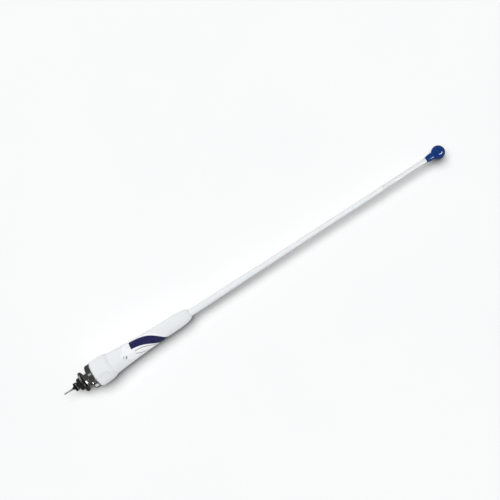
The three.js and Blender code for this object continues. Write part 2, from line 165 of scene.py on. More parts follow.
def levels(node, foot, top):
    """The heights between foot and top at which the node's outline has corners."""
    found = sorted({round(v.co.z, 5) for v in frame["nodes"][node].data.vertices})
    return [height for height in found if foot <= height <= top]


# ---- Outlines ----


def arc_at(before, corner, after, rounding, steps=6):
    """Points that round off a corner, from one of its sides to the other.

    They lie on an arc of a circle. Its ends move in where a side is too short for the rounding.
    """
    back = np.subtract(before, corner)
    on = np.subtract(after, corner)
    back_length = np.linalg.norm(back)
    on_length = np.linalg.norm(on)
    room = 0.9 * min(back_length, on_length)
    reach = min(rounding, room)
    first = corner + back / back_length * reach
    last = corner + on / on_length * reach
    opening = math.acos(np.clip(back @ on / back_length / on_length, -1, 1))
    weight = math.sin(opening / 2)
    points = []
    for t in np.linspace(0, 1, steps):
        parts = np.array([(1 - t) ** 2, 2 * weight * t * (1 - t), t**2])
        blend = parts[0] * first + parts[1] * np.array(corner) + parts[2] * last
        points.append(blend / parts.sum())
    return points


def rounded(corners):
    """The outline's points, with each corner rounded by its own rounding."""
    flat = [np.array(c[:2], float) for c in corners]
    points = []
    for i, corner in enumerate(corners):
        if len(corner) < 3 or corner[2] == 0:
            points.append(flat[i])
        else:
            points.extend(arc_at(flat[i - 1], flat[i], flat[(i + 1) % len(flat)], corner[2]))
    return points


def densified(points, spacing, closed):
    """The points with extra ones between them, so that none are further apart than the spacing."""
    dense = []
    last = len(points) if closed else len(points) - 1
    for i in range(last):
        a = points[i]
        b = points[(i + 1) % len(points)]
        count = max(1, math.ceil(np.linalg.norm(b - a) / spacing))
        dense.extend(a + (b - a) * k / count for k in range(count))
    if not closed:
        dense.append(points[-1])
    return dense


def smooth_side(node, foot, top, rows):
    """The node's outer side between two heights, as a smooth curve through its corners, going up."""
    heights = np.array(levels(node, foot, top))
    radii = np.array([outer(node, height) for height in heights])
    slopes = np.gradient(radii, heights)
    side = []
    for height in np.linspace(heights[0], heights[-1], rows):
        i = min(max(np.searchsorted(heights, height) - 1, 0), len(heights) - 2)
        step = heights[i + 1] - heights[i]
        t = (height - heights[i]) / step
        radius = (
            (2 * t**3 - 3 * t**2 + 1) * radii[i]
            + (t**3 - 2 * t**2 + t) * step * slopes[i]
            + (3 * t**2 - 2 * t**3) * radii[i + 1]
            + (t**3 - t**2) * step * slopes[i + 1]
        )
        side.append((radius, height))
    return side


# ---- Shapes that turn a round outline into something else ----


def hexagon(corner, turn, foot, top, crown=0.0):
    """Pulls an outline in to a hexagon between two heights.

    A crown makes the flats bulge in their middles.
    """
    half_side = math.pi / 6  # the angle from a corner to the middle of a flat
    innermost = 0.7 * corner  # so that a bore stays round

    def shape(radius, height, angle):
        if not foot - GAP <= height <= top + GAP or radius < innermost:
            return radius
        off_corner = (angle - turn + half_side) % (2 * half_side) - half_side
        off_flat = half_side - abs(off_corner)
        across = math.tan(off_flat) / math.tan(half_side)
        along = min(1.0, abs(2 * height - foot - top) / (top - foot))
        bulge = crown * (1 - across**2) * (1 - along**2)
        return min(radius, corner * math.cos(half_side) / math.cos(off_flat) + bulge)

    return shape


def turned_down(corner):
    """The radius of a hexagon's flats, and the height that its turned-down corners take."""
    flat = corner * math.cos(math.pi / 6)
    return flat, (corner - flat) * math.tan(math.pi / 6)


def thread(major, pitch, foot, top, depth, inward=False):
    """Cuts a right-hand thread into an outline between two heights.

    It fades out over half a turn at both ends, and its roots are flat.
    """
    reach = 0.2 * MM  # how near to the major radius a point has to be
    steepness = 1.6  # over 1, which leaves the roots flat

    def shape(radius, height, angle):
        if abs(radius - major) > reach or not foot <= height <= top:
            return radius
        phase = (height / pitch - angle / (2 * math.pi)) % 1
        ridge = min(1.0, steepness * abs(2 * phase - 1))
        fade = min(1.0, (height - foot) / (pitch / 2), (top - height) / (pitch / 2))
        cut = depth * ridge * fade
        return radius + cut if inward else radius - cut

    return shape


def flutes(count, first, middle, half_height, half_breadth, depth, surface):
    """Sinks finger flutes into the part of an outline that lies outside the surface radius."""
    pitch = 2 * math.pi / count
    bank = 0.5  # the share of a flute that its sloping sides take
    skin_depth = 2 * MM  # over which the flutes start, outside the surface radius

    def shape(radius, height, angle):
        off = (angle - first + pitch / 2) % pitch - pitch / 2
        across = abs(off * radius) / half_breadth
        along = abs(height - middle) / half_height
        inside = min(1.0, max(0.0, (1 - across**2.4 - along**4) / bank))
        skin = min(1.0, max(0.0, (radius - surface) / skin_depth))
        return radius - depth * skin * inside * inside * (3 - 2 * inside)

    return shape


def joined(*shapes):
    """One shape that applies several, in their order."""

    def shape(radius, height, angle):
        for one in shapes:
            radius = one(radius, height, angle)
        return radius

    return shape


# ---- Making pieces ----


def finish_mesh(name, points, faces, crease_degrees=32):
    """A named object from points and faces, smooth apart from its creases."""
    mesh = bpy.data.meshes.new(name)
    mesh.from_pydata([tuple(p) for p in points], [], faces)
    mesh.validate()
    mesh.polygons.foreach_set("use_smooth", [True] * len(mesh.polygons))
    mesh.set_sharp_from_angle(angle=math.radians(crease_degrees))
    piece = bpy.data.objects.new(name, mesh)
    bpy.context.scene.collection.objects.link(piece)
    return piece


def doubled_area(points):
    """Twice the area inside an outline, above zero where it runs anticlockwise."""
    return sum(a[0] * b[1] - b[0] * a[1] for a, b in zip(points, points[1:] + points[:1]))


def turned(name, corners, columns=96, spacing=None, shape=None):
    """A piece turned from an outline about the Z axis.

    With a spacing, the outline gets extra points, and with a shape, each of its points has a
    radius that depends on the angle.
    """
    points = rounded(corners)
    on_axis = points[0][0] == 0 and points[-1][0] == 0
    if spacing:
        points = densified(points, spacing, closed=not on_axis)
    angles = np.linspace(0, 2 * math.pi, columns, endpoint=False)
    vertices = []
    rows = []
    for radius, height in points:
        if radius < 1e-9:
            rows.append([len(vertices)] * columns)
            vertices.append((0, 0, height))
            continue
        rows.append(list(range(len(vertices), len(vertices) + columns)))
        for angle in angles:
            r = shape(radius, height, angle) if shape else radius
            vertices.append((r * math.cos(angle), r * math.sin(angle), height))
    faces = []
    count = len(rows) - 1 if on_axis else len(rows)
    for i in range(count):
        here = rows[i]
        above = rows[(i + 1) % len(rows)]
        for k in range(columns):
            n = (k + 1) % columns
            face = [here[k], here[n], above[n], above[k]]
            faces.append(list(dict.fromkeys(face)))  # beside the axis, a face has three corners
    if doubled_area(points) < 0:
        faces = [face[::-1] for face in faces]
    return finish_mesh(name, vertices, faces)


def swept(name, path, radius, sides=12):
    """A round wire along a path, with blunted ends."""
    path = [Vector(p) for p in path]
    last = len(path) - 1
    tangents = []
    for i in range(len(path)):
        ahead = path[min(i + 1, last)] - path[max(i - 1, 0)]
        tangents.append(ahead.normalized())
    blunt = 0.5 * radius
    stations = [
        (path[0] - tangents[0] * radius * 0.5, tangents[0], blunt),
        *zip(path, tangents, [radius] * len(path)),
        (path[-1] + tangents[-1] * radius * 0.5, tangents[-1], blunt),
    ]
    side = tangents[0].orthogonal().normalized()
    vertices = []
    for spot, tangent, size in stations:
        side = (side - tangent * side.dot(tangent)).normalized()
        up = tangent.cross(side)
        for k in range(sides):
            angle = 2 * math.pi * k / sides
            spoke = side * (size * math.cos(angle)) + up * (size * math.sin(angle))
            vertices.append(spot + spoke)
    faces = [list(range(sides))[::-1]]
    for i in range(len(stations) - 1):
        here = i * sides
        above = here + sides
        for k in range(sides):
            n = (k + 1) % sides
            faces.append([here + k, here + n, above + n, above + k])
    faces.append([(len(stations) - 1) * sides + k for k in range(sides)])
    return finish_mesh(name, vertices, faces)


def body_of(node):
    bodies = frame["record"]["behaviour"]["bodies"]
    return next(name for name, nodes in bodies.items() if node in nodes)


def install(piece, node, material):
    """Puts a finished piece in the place of its CAD node."""
    piece.data.materials.append(material)
    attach(piece, body_of(node))
    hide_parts(node)
    return piece


# ---- Materials ----


class Nodes:
    """A node tree, built up from short calls."""

    def __init__(self, tree):
        self.tree = tree

    def node(self, kind, inputs=None, **settings):
        made = self.tree.nodes.new(kind)
        for key, value in settings.items():
            setattr(made, key, value)
        for key, value in (inputs or {}).items():
            self.feed(made.inputs[key], value)
        return made

    def feed(self, socket, value):
        """Links a socket to another node's output, or gives it a plain value."""
        if isinstance(value, bpy.types.NodeSocket):
            self.tree.links.new(value, socket)
        else:
            socket.default_value = value


class Paint(Nodes):
    """A material's node tree, with the textures and masks that several materials use."""

    def __init__(self, name):
        self.material = bpy.data.materials.new(name)
        self.material.use_nodes = True
        super().__init__(self.material.node_tree)
        self.surface = self.tree.nodes["Principled BSDF"]

    def set(self, **values):
        """Feeds the surface's inputs, whose names are written with _ for a space."""
        for key, value in values.items():
            self.feed(self.surface.inputs[key.replace("_", " ")], value)

    def place(self, scale=(1, 1, 1)):
        """Coordinates in metres, stretched by a scale."""
        coordinates = self.node("ShaderNodeTexCoord").outputs["Object"]
        mapping = self.node("ShaderNodeMapping", {"Vector": coordinates, "Scale": scale})
        return mapping.outputs["Vector"]

    def noise(self, size, detail=3, scale=(1, 1, 1)):
        """Noise whose blobs are about size metres across."""
        inputs = {"Vector": self.place(scale), "Scale": 1 / size, "Detail": detail}
        return self.node("ShaderNodeTexNoise", inputs).outputs["Fac"]

    def spread(self, factor, low_value=0.0, high_value=1.0, start=0.3, end=0.7):
        """A factor's stretch from start to end, mapped to a range of values."""
        inputs = {
            "Value": factor,
            "From Min": start,
            "From Max": end,
            "To Min": low_value,
            "To Max": high_value,
        }
        return self.node("ShaderNodeMapRange", inputs).outputs["Result"]

    def calc(self, operation, first, second):
        made = self.node("ShaderNodeMath", {0: first, 1: second}, operation=operation)
        return made.outputs["Value"]

    def mix(self, factor, first, second):
        made = self.node("ShaderNodeMix", data_type="RGBA")
        self.feed(made.inputs["Factor"], factor)
        self.feed(made.inputs["A"], first)
        self.feed(made.inputs["B"], second)
        return made.outputs["Result"]

    def bump(self, height, depth, strength, under=None):
        """A normal roughened by a height, on top of the bump that is under it."""
        inputs = {"Height": height, "Distance": depth, "Strength": strength}
        if under:
            inputs["Normal"] = under
        return self.node("ShaderNodeBump", inputs).outputs["Normal"]

    def rings(self, width):
        """Fine rings around Z, as a lathe leaves. They lie 2 pi times a width apart."""
        built_in = 20  # the factor that a wave texture puts on its scale
        inputs = {
            "Vector": self.place(),
            "Scale": 1 / (built_in * width),
            "Distortion": 0.4,
            "Detail": 2.0,
        }
        made = self.node("ShaderNodeTexWave", inputs, wave_type="BANDS", bands_direction="Z")
        return made.outputs["Fac"]

    def corners(self, width):
        """Near 1 on edges and near 0 elsewhere, for wear that follows edges."""
        bevel = self.node("ShaderNodeBevel", {"Radius": width}, samples=4).outputs["Normal"]
        normal = self.node("ShaderNodeNewGeometry").outputs["Normal"]
        inputs = {0: bevel, 1: normal}
        dot = self.node("ShaderNodeVectorMath", inputs, operation="DOT_PRODUCT").outputs["Value"]
        return self.spread(dot, 1.0, 0.0, start=0.80, end=0.995)

    def hollows(self, distance):
        """Near 1 in crevices and near 0 in the open, from ambient occlusion, for painted shade."""
        shade = self.node("ShaderNodeAmbientOcclusion", {"Distance": distance}, samples=4)
        return self.spread(shade.outputs["AO"], 1.0, 0.0, start=0.25, end=0.85)


def colour(red, green, blue):
    return (red, green, blue, 1.0)


def moulded_plastic(name, base, shade, roughness, gloss=0.0, hollow_shade=0.08):
    """Injection-moulded plastic: faint flow clouds, fine grain, scuffs, and painted shade in its
    corners.
    """
    paint = Paint(name)
    clouds = paint.spread(paint.noise(18 * MM, detail=4))
    body = paint.mix(clouds, base, shade)
    # Painted shade: a dusty grey is mixed in where ambient occlusion finds a hollow, so corners and
    # seams come out darker.
    shaded_hollows = paint.calc("MULTIPLY", paint.hollows(4 * MM), hollow_shade)
    body = paint.mix(shaded_hollows, body, colour(0.42, 0.41, 0.38))
    scuffs = paint.spread(paint.noise(1.6 * MM, detail=5), start=0.45, end=0.75)
    rough = paint.spread(scuffs, roughness * 0.85, roughness * 1.2, start=0.0, end=1.0)
    paint.set(Base_Color=body, Roughness=rough, Coat_Weight=gloss, Coat_Roughness=0.12)
    grain = paint.bump(paint.noise(0.5 * MM, detail=2), 0.02 * MM, strength=0.35)
    paint.set(Normal=paint.bump(paint.noise(9 * MM), 0.06 * MM, strength=0.25, under=grain))
    return paint.material


def painted_fibreglass(name, base, shade, roughness, gloss):
    """A pulled fibreglass tube under paint: glass fibres show as faint lengthwise lines."""
    paint = Paint(name)
    fibres = paint.noise(0.7 * MM, detail=4, scale=(1, 1, 0.02))
    clouds = paint.noise(40 * MM)
    tint = paint.spread(paint.calc("MULTIPLY", fibres, clouds), start=0.15, end=0.4)
    paint.set(Base_Color=paint.mix(tint, base, shade))
    paint.set(Roughness=paint.spread(fibres, roughness * 0.8, roughness * 1.25))
    paint.set(Coat_Weight=gloss, Coat_Roughness=0.1)
    paint.set(Normal=paint.bump(fibres, 0.03 * MM, strength=0.4))
    return paint.material


def turned_metal(name, base, dark, roughness, ring_width, edge=None):
    """Machined metal: lathe lines, smudges, bright worn edges and painted shade in its hollows."""
    paint = Paint(name)
    smudges = paint.spread(paint.noise(7 * MM, detail=5))
    body = paint.mix(smudges, base, dark)
    if edge:
        body = paint.mix(paint.corners(0.5 * MM), body, edge)
    # Painted shade: near-black is mixed in where ambient occlusion finds a hollow.
    body = paint.mix(paint.hollows(3 * MM), body, colour(0.03, 0.03, 0.028))
    rings = paint.rings(ring_width)
    paint.set(Base_Color=body, Metallic=1.0)
    rough = paint.spread(smudges, roughness * 0.75, roughness * 1.5, start=0.0, end=1.0)
    paint.set(Roughness=rough)
    paint.set(Normal=paint.bump(rings, 0.01 * MM, strength=0.3))
    return paint.material


def drawn_wire(name, base, dark, roughness):
    """Copper or brass wire: a fine grain and patches of tarnish."""
    paint = Paint(name)
    tarnish = paint.spread(paint.noise(5 * MM, detail=5), start=0.4, end=0.75)
    paint.set(Base_Color=paint.mix(tarnish, base, dark), Metallic=1.0)
    paint.set(Roughness=paint.spread(tarnish, roughness, roughness * 2, start=0.0, end=1.0))
    paint.set(Normal=paint.bump(paint.noise(0.4 * MM), 0.01 * MM, strength=0.3))
    return paint.material


def soft_solid(name, base, shade, roughness, grain, depth):
    """Rubber, foam, PTFE or ceramic: a plain body with a grain of its own size."""
    paint = Paint(name)
    specks = paint.noise(grain, detail=4)
    paint.set(Base_Color=paint.mix(paint.spread(specks), base, shade))
    paint.set(Roughness=paint.spread(specks, roughness * 0.9, min(1.0, roughness * 1.1)))
    paint.set(Normal=paint.bump(specks, depth, strength=0.5))
    return paint.material


class LabelPaint(Paint):
    """The label's material, with masks for what is printed on it."""

    def __init__(self, name):
        super().__init__(name)
        place = self.node("ShaderNodeUVMap", uv_map="label").outputs["UV"]
        parts = self.node("ShaderNodeSeparateXYZ", {"Vector": place})
        self.along, self.up = parts.outputs["X"], parts.outputs["Y"]

    def past(self, value, limit):
        """1 where a share of the label's length is past a limit, with a crisp but smooth edge."""
        edge = 0.15 * MM / LABEL_LENGTH
        return self.spread(self.calc("SUBTRACT", value, limit), start=-edge, end=edge)

    def bowed(self, height, bow):
        """A line along the label, raised in its middle by its bow's share of the label's arch."""
        arch = 4 * LABEL_RISE / LABEL_LENGTH
        middle = self.calc("MULTIPLY", self.along, self.calc("SUBTRACT", 1.0, self.along))
        rise = self.calc("MULTIPLY", middle, bow * arch)
        return self.calc("ADD", rise, height / LABEL_LENGTH)

    def patch(self, foot, top, start, end, lean=0.0):
        """1 in the part of the label between two such lines and two ends, and 0 outside it.

        The foot and the top are (height, bow) each. A lean slants the ends outwards, going up.
        """
        above_foot = self.past(self.up, self.bowed(*foot))
        below_top = self.past(self.bowed(*top), self.up)
        leaning = self.calc("MULTIPLY", self.up, lean)
        begun = self.past(self.calc("ADD", self.along, leaning), start / LABEL_LENGTH)
        ended = self.past(end / LABEL_LENGTH, self.calc("SUBTRACT", self.along, leaning))
        between_lines = self.calc("MULTIPLY", above_foot, below_top)
        return self.calc("MULTIPLY", between_lines, self.calc("MULTIPLY", begun, ended))


def vinyl_label():
    """A gloss white label: a navy arch, two thin grey rules and two small grey bars in a corner."""
    paint = LabelPaint("vinyl_label")
    patch = paint.patch
    mottle = paint.spread(paint.noise(6 * MM))
    sheet = paint.mix(mottle, colour(0.90, 0.90, 0.93), colour(0.87, 0.875, 0.905))
    arch = patch(
        foot=(3.4 * MM, 1.31), top=(27.0 * MM, 1.0), start=33.2 * MM, end=90 * MM, lean=0.64,
    )
    upper_rule = patch(foot=(2.0 * MM, 0.55), top=(3.6 * MM, 0.55), start=31 * MM, end=96 * MM)
    lower_rule = patch(foot=(-11.4 * MM, 1.78), top=(-9.8 * MM, 1.78), start=28 * MM, end=98 * MM)
    thin_bar = patch(foot=(0.2 * MM, 0.0), top=(5.4 * MM, 0.0), start=6.2 * MM, end=7.8 * MM)
    thick_bar = patch(foot=(0.1 * MM, 0.0), top=(6.3 * MM, 0.0), start=10.6 * MM, end=13.8 * MM)
    rules = paint.calc("MAXIMUM", lower_rule, upper_rule)
    bars = paint.calc("MAXIMUM", thin_bar, thick_bar)
    greys = paint.calc("MAXIMUM", rules, bars)
    printed = paint.mix(greys, sheet, colour(0.30, 0.31, 0.36))
    printed = paint.mix(arch, printed, colour(0.012, 0.012, 0.075))
    paint.set(Base_Color=printed, Coat_Weight=0.5, Coat_Roughness=0.1)
    paint.set(Roughness=paint.spread(mottle, 0.25, 0.36, start=0.0, end=1.0))
    ink = paint.bump(paint.calc("MAXIMUM", arch, greys), 0.02 * MM, strength=0.4)
    paint.set(Normal=paint.bump(paint.noise(3 * MM), 0.02 * MM, strength=0.3, under=ink))
    return paint.material


chrome = turned_metal(
    "turned_chrome", colour(0.50, 0.50, 0.48), colour(0.33, 0.33, 0.31),
    roughness=0.11, ring_width=0.35 * MM, edge=colour(0.8, 0.8, 0.78),
)
steel = turned_metal(
    "dull_steel", colour(0.24, 0.24, 0.23), colour(0.13, 0.13, 0.12),
    roughness=0.28, ring_width=0.25 * MM, edge=colour(0.55, 0.55, 0.53),
)
black_nickel = turned_metal(
    "black_nickel", colour(0.10, 0.105, 0.10), colour(0.05, 0.052, 0.05),
    roughness=0.24, ring_width=0.25 * MM, edge=colour(0.34, 0.34, 0.33),
)
tinned = turned_metal(
    "tinned_pin", colour(0.52, 0.52, 0.51), colour(0.36, 0.36, 0.35),
    roughness=0.34, ring_width=0.5 * MM,
)
brass = drawn_wire("brass", colour(0.72, 0.52, 0.2), colour(0.4, 0.27, 0.1), roughness=0.22)
copper = drawn_wire("copper", colour(0.8, 0.38, 0.2), colour(0.42, 0.18, 0.1), roughness=0.25)
white_plastic = moulded_plastic(
    "white_plastic", colour(0.80, 0.82, 0.83), colour(0.775, 0.80, 0.815), roughness=0.52,
)
blue_plastic = moulded_plastic(
    "blue_plastic", colour(0.0, 0.037, 0.21), colour(0.0, 0.028, 0.16),
    roughness=0.22, gloss=0.8, hollow_shade=0.1,
)
tube_paint = painted_fibreglass(
    "tube_paint", colour(0.80, 0.825, 0.84), colour(0.765, 0.79, 0.815),
    roughness=0.45, gloss=0.15,
)
rod_paint = painted_fibreglass(
    "rod_paint", colour(0.80, 0.81, 0.82), colour(0.74, 0.755, 0.77),
    roughness=0.16, gloss=1.0,
)
rubber = soft_solid(
    "rubber", colour(0.012, 0.012, 0.013), colour(0.03, 0.03, 0.031),
    roughness=0.75, grain=0.4 * MM, depth=0.05 * MM,
)
ptfe = soft_solid(
    "ptfe", colour(0.82, 0.81, 0.77), colour(0.74, 0.73, 0.69),
    roughness=0.5, grain=1.2 * MM, depth=0.02 * MM,
)
foam = soft_solid(
    "foam", colour(0.74, 0.71, 0.62), colour(0.58, 0.55, 0.47),
    roughness=0.95, grain=0.8 * MM, depth=0.25 * MM,
)
natural_plastic = moulded_plastic(
    "natural_plastic", colour(0.62, 0.57, 0.44), colour(0.55, 0.50, 0.38), roughness=0.4,
)
ceramic = soft_solid(
    "ceramic", colour(0.45, 0.16, 0.03), colour(0.33, 0.11, 0.02),
    roughness=0.35, grain=1.5 * MM, depth=0.03 * MM,
)


# ---- Heights and radii that several pieces share ----

seat = mount_height("seat_face")
hex_foot = high("clamp_washer") + GAP
flange_top = low("ferrule_grip") - 0.6 * MM
spigot_top = low("ground_lug") - GAP
nose_foot = low("base_stud")
stud_foot = low("clamp_nut") - 1.5 * MM
bore_step = stud_foot + 1.6 * MM  # where the stud's bore widens
stud_top = high("base_stud")
stud_radius = outer("base_stud", stud_foot + 2.5 * MM)
nose_radius = outer("base_stud", nose_foot + 3 * MM)
flange_radius = half_width("base_stud")
pin_radius = half_width("feed_pin")


# ---- Stud and feed ----


def make_stud():
    """A round flange with a hex shank, a stud and a nose below it, and a spigot above it."""
    corner, turn = hex_of("base_stud", hex_foot, seat - 1 * MM)
    flat, bevel = turned_down(corner)
    spigot = outer("base_stud", (flange_top + spigot_top) / 2)
    top_radius = outer("base_stud", (spigot_top + stud_top) / 2)
    nose_bore = bore("base_stud", nose_foot + 2 * MM)
    wide_bore = bore("base_stud", seat)
    nose_chamfer = 0.6 * MM
    stud_chamfer = 1.0 * MM
    flange_rounding = 3 * MM
    corners = [
        (nose_bore, nose_foot, FINE),
        (nose_radius - nose_chamfer, nose_foot, CRISP),
        (nose_radius, nose_foot + nose_chamfer, CRISP),
        (nose_radius, stud_foot, CRISP),
        (stud_radius - stud_chamfer, stud_foot, FINE),
        (stud_radius, stud_foot + stud_chamfer, FINE),
        (stud_radius, hex_foot, CRISP),
        (flat - HEX_BEVEL, hex_foot, 0.15 * MM),
        (corner, hex_foot + bevel, CRISP),
        (corner, seat, EASED),
        (flange_radius, seat, flange_rounding),
        (flange_radius, flange_top, SOFT),
        (spigot, flange_top, FINE),
        (spigot, spigot_top, SOFT),
        (top_radius, spigot_top, CRISP),
        (top_radius, stud_top, SOFT),
        (wide_bore, stud_top, FINE),
        (wide_bore, bore_step, CRISP),
        (nose_bore, bore_step, CRISP),
    ]
    thread_depth = 0.5  # of the pitch
    shape = joined(
        hexagon(corner, turn, hex_foot, seat - 0.2 * MM, crown=0.35 * MM),
        thread(stud_radius, STUD_PITCH, stud_foot, hex_foot - 1.0 * MM, thread_depth * STUD_PITCH),
        thread(nose_radius, GLAND_PITCH, nose_foot, stud_foot - 0.4 * MM, thread_depth * GLAND_PITCH),
        thread(top_radius, STUD_PITCH, spigot_top + 0.5 * MM, stud_top, 0.7 * MM),
    )
    piece = turned("stud_body", corners, columns=144, spacing=0.3 * MM, shape=shape)
    return install(piece, "base_stud", chrome)


def make_feed_pin():
    """A rod with a shallow groove around it, just below the gland's seal."""
    foot, top = ends("feed_pin")
    groove_foot = foot + 17 * MM
    groove_top = groove_foot + 1.6 * MM
    groove_radius = pin_radius - 0.15 * MM
    slope = 0.2 * MM
    corners = [
        (0, foot),
        (pin_radius, foot, 0.8 * MM),
        (pin_radius, groove_foot),
        (groove_radius, groove_foot + slope),
        (groove_radius, groove_top - slope),
        (pin_radius, groove_top),
        (pin_radius, top, EASED),
        (0, top),
    ]
    return install(turned("contact_pin", corners, columns=48), "feed_pin", tinned)


def make_insulator():
    """A bush that fills both of the stud's bores around the pin."""
    node = "feed_insulator"
    foot, top = ends(node)
    step = bore_step + GAP
    inner = pin_radius + GAP
    narrow = outer(node, foot + 2 * MM)
    corners = [
        (inner, foot, FINE),
        (narrow, foot, FINE),
        (narrow, step, CRISP),
        (half_width(node), step, CRISP),
        (half_width(node), top, SOFT),
        (inner, top, EASED),
    ]
    return install(turned("insulator_bush", corners, columns=48), node, ptfe)


# ---- Clamp and gland hardware ----


def make_washer(name, node, material, hole_edge, rim_edge, columns=96):
    """A flat washer, with one rounding around its hole and another around its rim."""
    foot, top = ends(node)
    rim = half_width(node)
    hole = bore(node, (foot + top) / 2)
    corners = [
        (hole, foot, hole_edge),
        (rim, foot, rim_edge),
        (rim, top, rim_edge),
        (hole, top, hole_edge),
    ]
    return install(turned(name, corners, columns=columns), node, material)


def make_lock_washer():
    """A spring washer: a square wire bent round almost a full turn, whose ends stand a little apart."""
    node = "lock_washer"
    foot, top = ends(node)
    hole = bore(node, (foot + top) / 2)
    rim = half_width(node)
    lift = 0.35 * MM  # of one end above the other
    opening = math.radians(9)  # half of the angle between the ends
    cut = 0.12  # how far the cut at each end slants, as an angle
    section = rounded([
        (hole, foot, EASED),
        (rim, foot, EASED),
        (rim, top - lift, EASED),
        (hole, top - lift, EASED),
    ])
    stations = 90
    turns = np.linspace(opening, 2 * math.pi - opening, stations)
    cuts = [cut, *[0] * (stations - 2), -cut]
    vertices = []
    for turn, slant in zip(turns, cuts):
        rise = lift * (turn - opening) / (2 * math.pi - 2 * opening)
        for radius, height in section:
            angle = turn - slant * (height - foot) / (top - foot)
            vertices.append((radius * math.cos(angle), radius * math.sin(angle), height + rise))
    count = len(section)
    last = (stations - 1) * count
    faces = [list(range(count)), [last + k for k in range(count)][::-1]]
    for here in range(0, last, count):
        above = here + count
        for k in range(count):
            n = (k + 1) % count
            faces.append([here + k, above + k, above + n, here + n])
    return install(finish_mesh("washer_spring", vertices, faces), node, steel)


def make_hex_nut(name, node, material, pitch, hole, lip=None, columns=144):
    """A hex nut with turned-down corners and a threaded bore.

    A lip, given as its (radius, height), closes the lower end down to a smaller hole.
    """
    foot, top = ends(node)
    corner, turn = hex_of(node, foot, top)
    flat, bevel = turned_down(corner)
    chamfer = 0.5 * MM
    outside = [
        (flat - HEX_BEVEL, foot, 0.15 * MM),
        (corner, foot + bevel, CRISP),
        (corner, top - bevel, CRISP),
        (flat - HEX_BEVEL, top, 0.15 * MM),
        (hole + chamfer, top),
        (hole, top - chamfer),
    ]
    if lip:
        lip_radius, lip_height = lip
        inside = [
            (hole, foot + lip_height, CRISP),
            (lip_radius, foot + lip_height, CRISP),
            (lip_radius, foot, FINE),
        ]
        thread_foot = foot + lip_height + 0.2 * MM
    else:
        inside = [(hole, foot + chamfer), (hole + chamfer, foot)]
        thread_foot = foot + 0.6 * MM
    shape = joined(
        hexagon(corner, turn, foot, top),
        thread(hole, pitch, thread_foot, top - 0.6 * MM, 0.45 * pitch, inward=True),
    )
    piece = turned(name, outside + inside, columns=columns, spacing=0.22 * MM, shape=shape)
    return install(piece, node, material)


def make_clamp_nut():
    node = "clamp_nut"
    hole = bore(node, (low(node) + high(node)) / 2)
    return make_hex_nut("nut_clamp", node, steel, STUD_PITCH, hole)


def make_gland_nut():
    node = "gland_nut"
    hole = bore(node, high(node) - 1 * MM)
    lip = bore(node, low(node) + GLAND_LIP / 2), GLAND_LIP
    return make_hex_nut("nut_gland", node, black_nickel, GLAND_PITCH, hole, lip, columns=96)


def make_gland_seal():
    """A rubber sleeve: a flange inside the gland nut, then a ribbed cone that grips the pin."""
    node = "gland_seal"
    foot, top = ends(node)
    inner = pin_radius + GAP
    cone_top = low("gland_nut") - GAP
    neck = outer(node, cone_top + 0.6 * MM)
    flange_foot = low("gland_nut") + GLAND_LIP + GAP
    tip = outer(node, foot + HAIRLINE)
    ribs = 4
    lowest = 0.6  # the first rib's height, as a share of the distance between ribs
    rib_depth = 0.35 * MM
    corners = [(inner, foot, FINE), (tip, foot, EASED)]
    for i in range(ribs):
        share = (i + lowest) / ribs
        height = foot + (cone_top - foot) * share
        radius = tip + (neck - tip) * share
        corners.append((radius, height, FINE))
        corners.append((radius - rib_depth, height + rib_depth, FINE))
    corners += [
        (neck, cone_top, FINE),
        (neck, flange_foot, CRISP),
        (half_width(node), flange_foot, FINE),
        (half_width(node), top, FINE),
        (inner, top, FINE),
    ]
    return install(turned("seal_gland", corners, columns=64), node, rubber)


# ---- Ferrule ----


def make_ferrule_grip():
    """The ferrule's foot: a shell with finger flutes, which holds the stud's spigot and the cone."""
    node = "ferrule_grip"
    foot, top = ends(node)
    widest = half_width(node)
    foot_rounding = 5.5 * MM
    seal_recess = bore(node, foot + 1 * MM)
    seal_top = foot + 2.9 * MM
    skirt_bore = bore(node, top - 1 * MM)
    ledge = low("ferrule_cone") - 6.3 * MM
    spigot_bore = bore(node, ledge - 1 * MM)
    straight_top = foot + 22 * MM
    shoulder = foot + 28 * MM
    taper_top = top - 5 * MM
    lip = low("ferrule_cone") + SKIRT - HAIRLINE
    cone_foot = outer("ferrule_cone", lip + 1 * MM)
    corners = [
        (seal_recess, foot, FINE),
        (widest, foot, foot_rounding),
        (widest, straight_top, 8 * MM),
        (outer(node, shoulder), shoulder, 4 * MM),
        (outer(node, taper_top), taper_top, 2 * MM),
        (cone_foot + 0.3 * MM, lip, FINE),
        (skirt_bore, lip, CRISP),
        (skirt_bore, ledge, FINE),
        (spigot_bore, ledge, FINE),
        (spigot_bore, seal_top, CRISP),
        (seal_recess, seal_top, CRISP),
    ]
    shape = flutes(
        count=4,
        first=math.radians(-64),
        middle=foot + 13 * MM,
        half_height=19 * MM,
        half_breadth=7.4 * MM,
        depth=1.5 * MM,
        surface=widest - foot_rounding + 1 * MM,
    )
    piece = turned("grip_shell", corners, columns=288, spacing=0.8 * MM, shape=shape)
    return install(piece, node, white_plastic)


